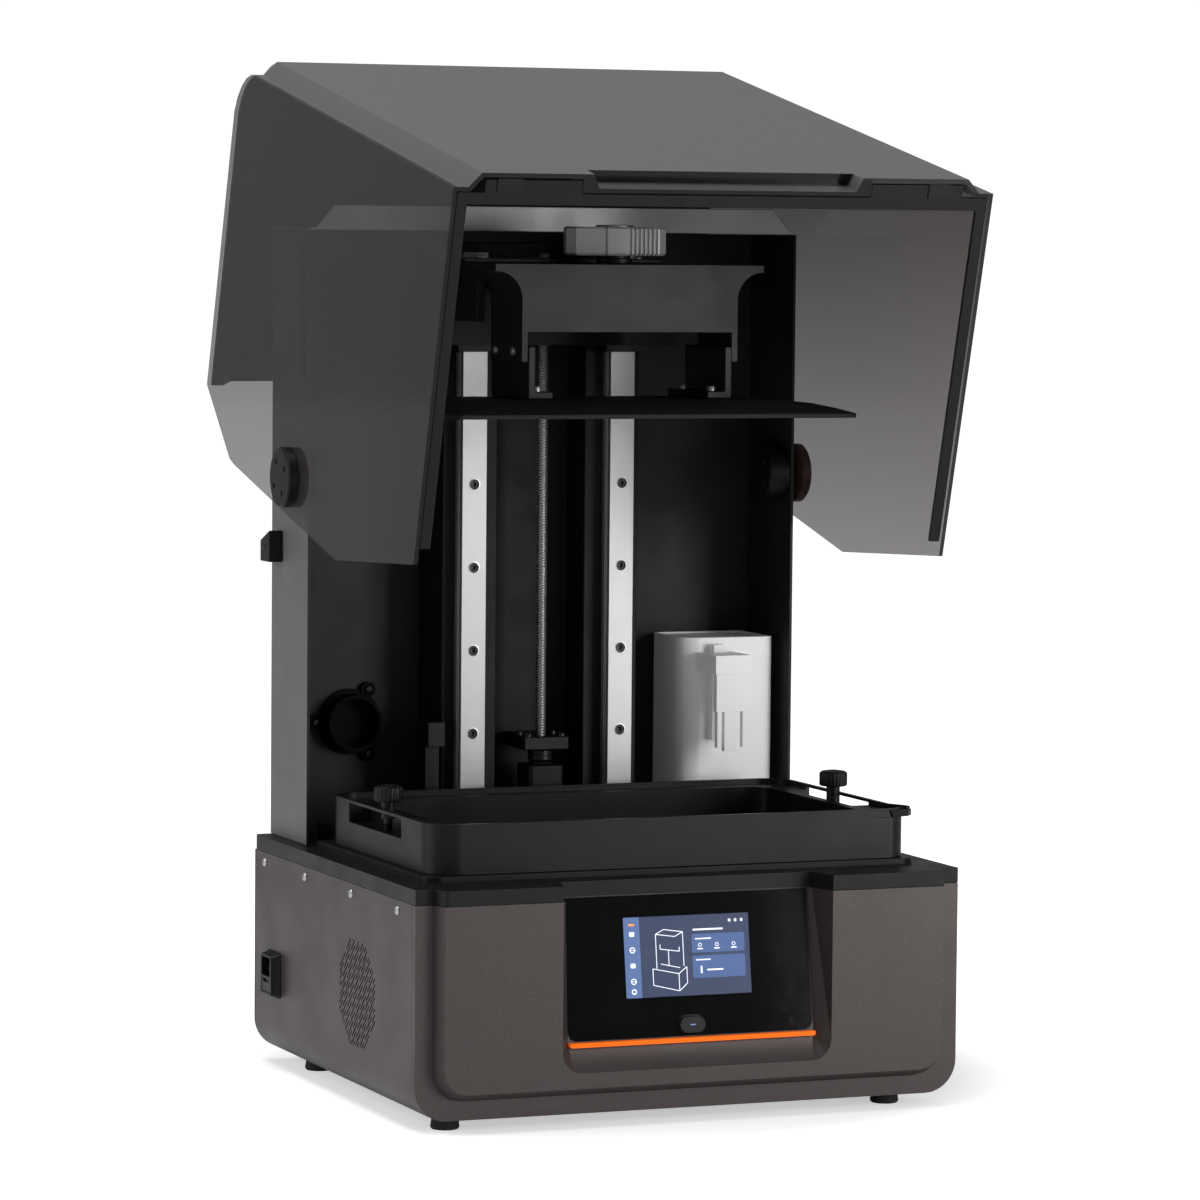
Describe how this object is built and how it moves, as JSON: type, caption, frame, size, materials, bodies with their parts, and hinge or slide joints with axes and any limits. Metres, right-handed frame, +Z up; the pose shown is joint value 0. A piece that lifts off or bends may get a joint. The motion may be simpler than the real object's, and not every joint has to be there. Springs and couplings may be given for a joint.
{
  "type": "resin 3d printer",
  "caption": "Desktop resin printer with a flip-up smoky lid, lift carriage with build plate, resin vat, feed tank, tilted touch screen and base housing.",
  "frame": {"origin": "bottom centre of the whole printer's bounding box in the rest pose, lid open and platform raised", "axes": "+X to the printer's right seen from the front, +Y from front to rear, +Z up"},
  "size_m": [0.41, 0.5322, 0.7228],
  "materials": {
    "housing": "satin metallic paint",
    "black_sheet": "fine matt powder coat",
    "grey_sheet": "fine matt powder coat",
    "cast": "black anodised",
    "plate": "dark blasted and anodised",
    "raw_aluminium": "milled",
    "steel": "ground",
    "plastic": "fine texture",
    "vat": "satin moulded",
    "white": "smooth",
    "screen": "black glass",
    "display": "lit panel",
    "orange": "satin",
    "rubber": "matt",
    "film": "clear film",
    "lid": "smoky moulding",
    "lid_side": "smoky clear sheet",
    "board": "circuit board"
  },
  "bodies": {
    "frame": {"base_housing": "housing", "base_back_panel": "housing", "front_panel": "housing", "foot_front_left": "rubber", "foot_front_right": "rubber", "foot_rear_left": "rubber", "foot_rear_right": "rubber", "screen_glass": "screen", "display_module": "display", "accent_strip": "orange", "deck_plate": "cast", "mask_screen": "screen", "power_inlet": "plastic", "uv_light_box": "raw_aluminium", "heat_sink": "raw_aluminium", "power_supply": "raw_aluminium", "control_board": "board", "cooling_fan_frame": "plastic", "column_shell": "grey_sheet", "column_hood": "grey_sheet", "lid_guide_block_left": "plastic", "lid_guide_block_right": "plastic", "duct_port": "plastic", "z_frame": "black_sheet", "z_rail_left": "steel", "z_rail_right": "steel", "z_motor": "cast", "screw_bearing": "cast", "limit_switch": "plastic", "hinge_hub_left": "plastic", "hinge_hub_right": "plastic"},
    "lid": {"lid_shell": "lid", "lid_side_left": "lid_side", "lid_side_right": "lid_side", "lid_rim": "lid_side", "hinge_disc_left": "plastic", "hinge_disc_right": "plastic"},
    "carriage": {"carriage_block_left": "cast", "carriage_block_right": "cast", "carriage_plate": "cast", "lead_nut": "white", "arm_left": "plate", "arm_right": "plate", "arm_top_plate": "plate"},
    "platform": {"platform_housing": "plate", "platform_hanger_left": "plate", "platform_hanger_right": "plate", "build_plate": "plate"},
    "clamp_knob": {"clamp_knob": "plastic"},
    "lead_screw": {"lead_screw": "steel"},
    "vat": {"vat_body": "vat", "release_film": "film", "film_frame": "raw_aluminium"},
    "thumb_screw_left": {"thumb_screw_left": "plastic"},
    "thumb_screw_right": {"thumb_screw_right": "plastic"},
    "feed_tank": {"feed_tank": "white", "feed_tap": "white"},
    "power_button": {"power_button": "plastic"},
    "fuse_drawer": {"fuse_drawer": "plastic"},
    "fan_rotor": {"cooling_fan_rotor": "plastic"}
  },
  "joints": [
    {"name": "lid_hinge", "type": "hinge", "parent": "frame", "child": "lid", "pos_m": [0, 0.06469, 0.426], "axis": [1, 0, 0], "range_deg": [0, 74.2]},
    {"name": "z_travel", "type": "slide", "parent": "frame", "child": "carriage", "axis": [0, 0, -1], "range_m": [0, 0.3]},
    {"name": "screw_turn", "type": "hinge", "parent": "frame", "child": "lead_screw", "pos_m": [0, 0.06969, 0.4085], "axis": [0, 0, 1], "range_deg": [-10, 13520]},
    {"name": "platform_slide", "type": "slide", "parent": "carriage", "child": "platform", "axis": [0, 1, 0], "range_m": [-0.05, 0]},
    {"name": "clamp_turn", "type": "hinge", "parent": "platform", "child": "clamp_knob", "pos_m": [0, -0.06431, 0.5935], "axis": [0, 0, 1], "range_deg": [0, 90]},
    {"name": "vat_lift", "type": "slide", "parent": "frame", "child": "vat", "axis": [0, 0, -1], "range_m": [-0.02, 0]},
    {"name": "thumb_screw_left_turn", "type": "hinge", "parent": "vat", "child": "thumb_screw_left", "pos_m": [-0.1689, -0.07381, 0.1985], "axis": [0, 0, 1], "range_deg": [0, 1080]},
    {"name": "thumb_screw_right_turn", "type": "hinge", "parent": "vat", "child": "thumb_screw_right", "pos_m": [0.1689, -0.07381, 0.1985], "axis": [0, 0, 1], "range_deg": [0, 1080]},
    {"name": "feed_tank_lift", "type": "slide", "parent": "frame", "child": "feed_tank", "axis": [0, 0, -1], "range_m": [-0.03, 0]},
    {"name": "power_button_press", "type": "slide", "parent": "frame", "child": "power_button", "axis": [0, 1, 0], "range_m": [0, 0.0008], "stiffness_N_per_m": 600, "springref_m": -0.0004},
    {"name": "fuse_drawer_slide", "type": "slide", "parent": "frame", "child": "fuse_drawer", "axis": [-1, 0, 0], "range_m": [0, 0.015]},
    {"name": "fan_spin", "type": "hinge", "parent": "frame", "child": "fan_rotor", "pos_m": [-0.105, 0.10569, 0.0865], "axis": [0, 1, 0], "continuous": true}
  ],
  "couplings": [
    {"joint": "screw_turn", "follows": "z_travel", "rad_per_m": 785.4}
  ]
}
